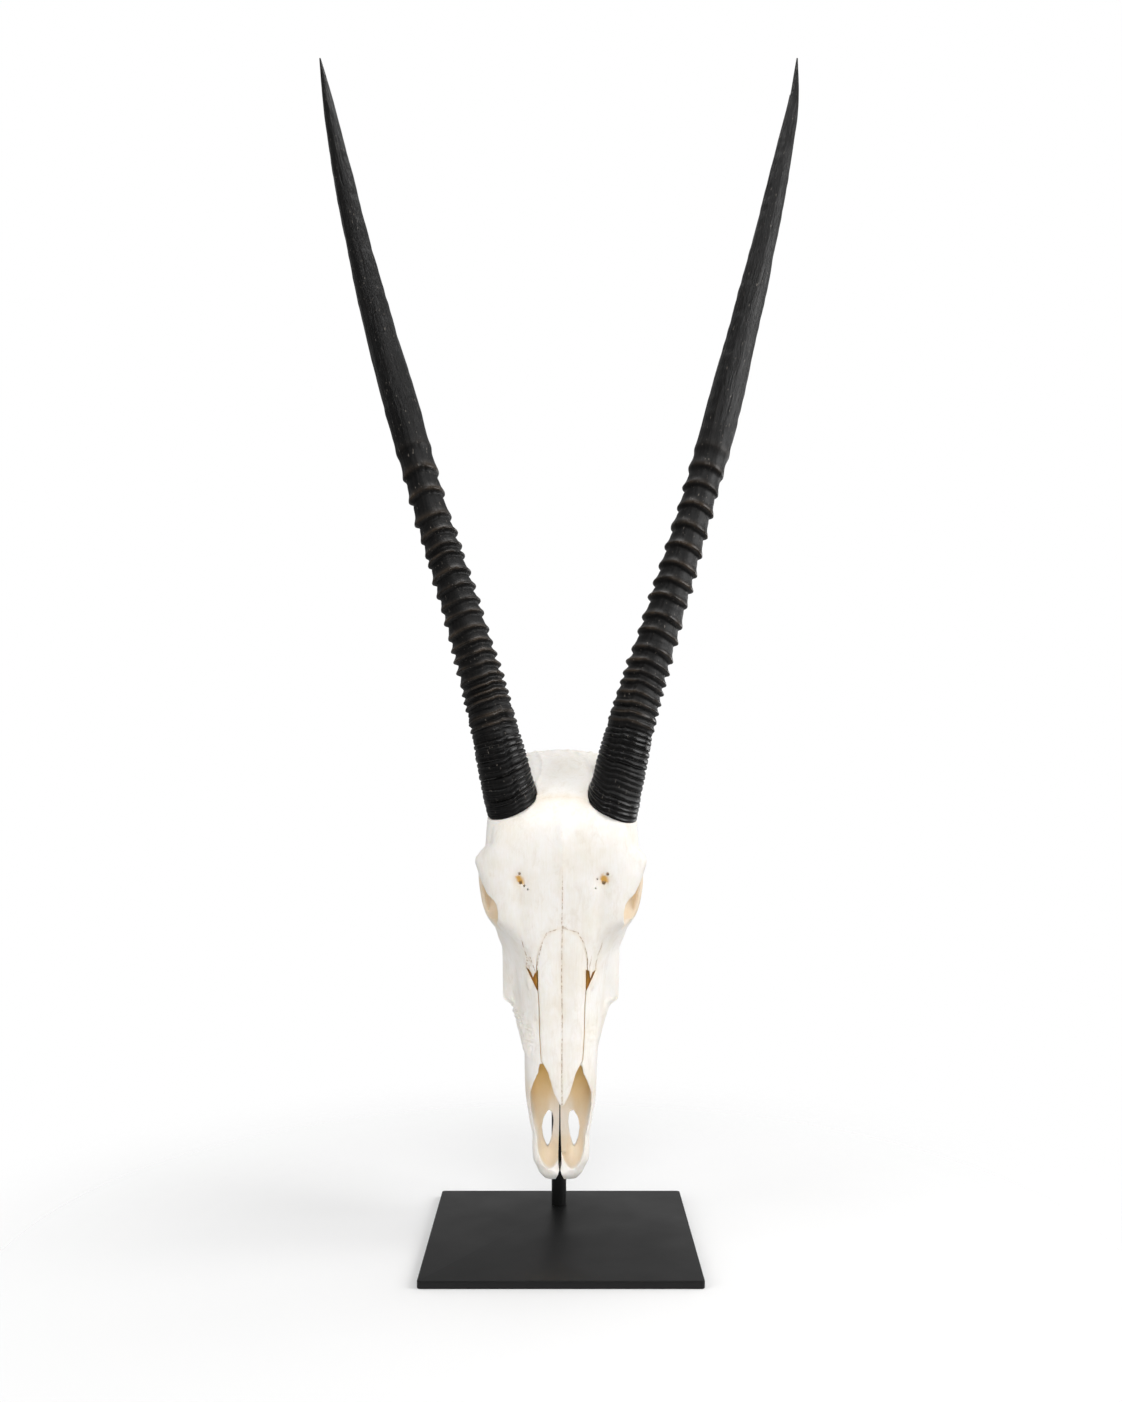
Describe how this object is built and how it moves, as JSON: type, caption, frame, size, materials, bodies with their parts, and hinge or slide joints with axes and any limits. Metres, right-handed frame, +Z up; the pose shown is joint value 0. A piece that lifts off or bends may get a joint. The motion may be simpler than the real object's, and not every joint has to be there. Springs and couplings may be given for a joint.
{
  "type": "mounted gemsbok skull with horns",
  "caption": "Bleached gemsbok skull with long ringed black horns, held nose down by a bent black steel post on a square black base plate.",
  "frame": {"origin": "centre of the base plate's underside, on the surface that it stands on", "axes": "+Z up towards the horn tips, -Y towards whoever faces the skull, +X to that person's right"},
  "size_m": [0.5094, 0.25, 1.2067],
  "materials": {
    "powder_coated_steel": "matte black powder coat on mild steel",
    "screw_steel": "blackened steel countersunk screw",
    "bone": "bleached dry bone, matte, warm tan in the hollows and along the seams",
    "tooth": "aged enamel, slightly glossy, brown in the grooves",
    "horn": "near-black keratin with a soft sheen, brown along worn ridges"
  },
  "bodies": {
    "root": {"base_plate": "powder_coated_steel", "post": "powder_coated_steel", "post_screw": "screw_steel", "skull": "bone", "nasal_left": "bone", "nasal_right": "bone", "premaxilla_left": "bone", "premaxilla_right": "bone", "premolar_2_left": "tooth", "premolar_3_left": "tooth", "premolar_4_left": "tooth", "molar_1_left": "tooth", "molar_2_left": "tooth", "molar_3_left": "tooth", "premolar_2_right": "tooth", "premolar_3_right": "tooth", "premolar_4_right": "tooth", "molar_1_right": "tooth", "molar_2_right": "tooth", "molar_3_right": "tooth", "horn_left": "horn", "horn_right": "horn"}
  },
  "joints": []
}
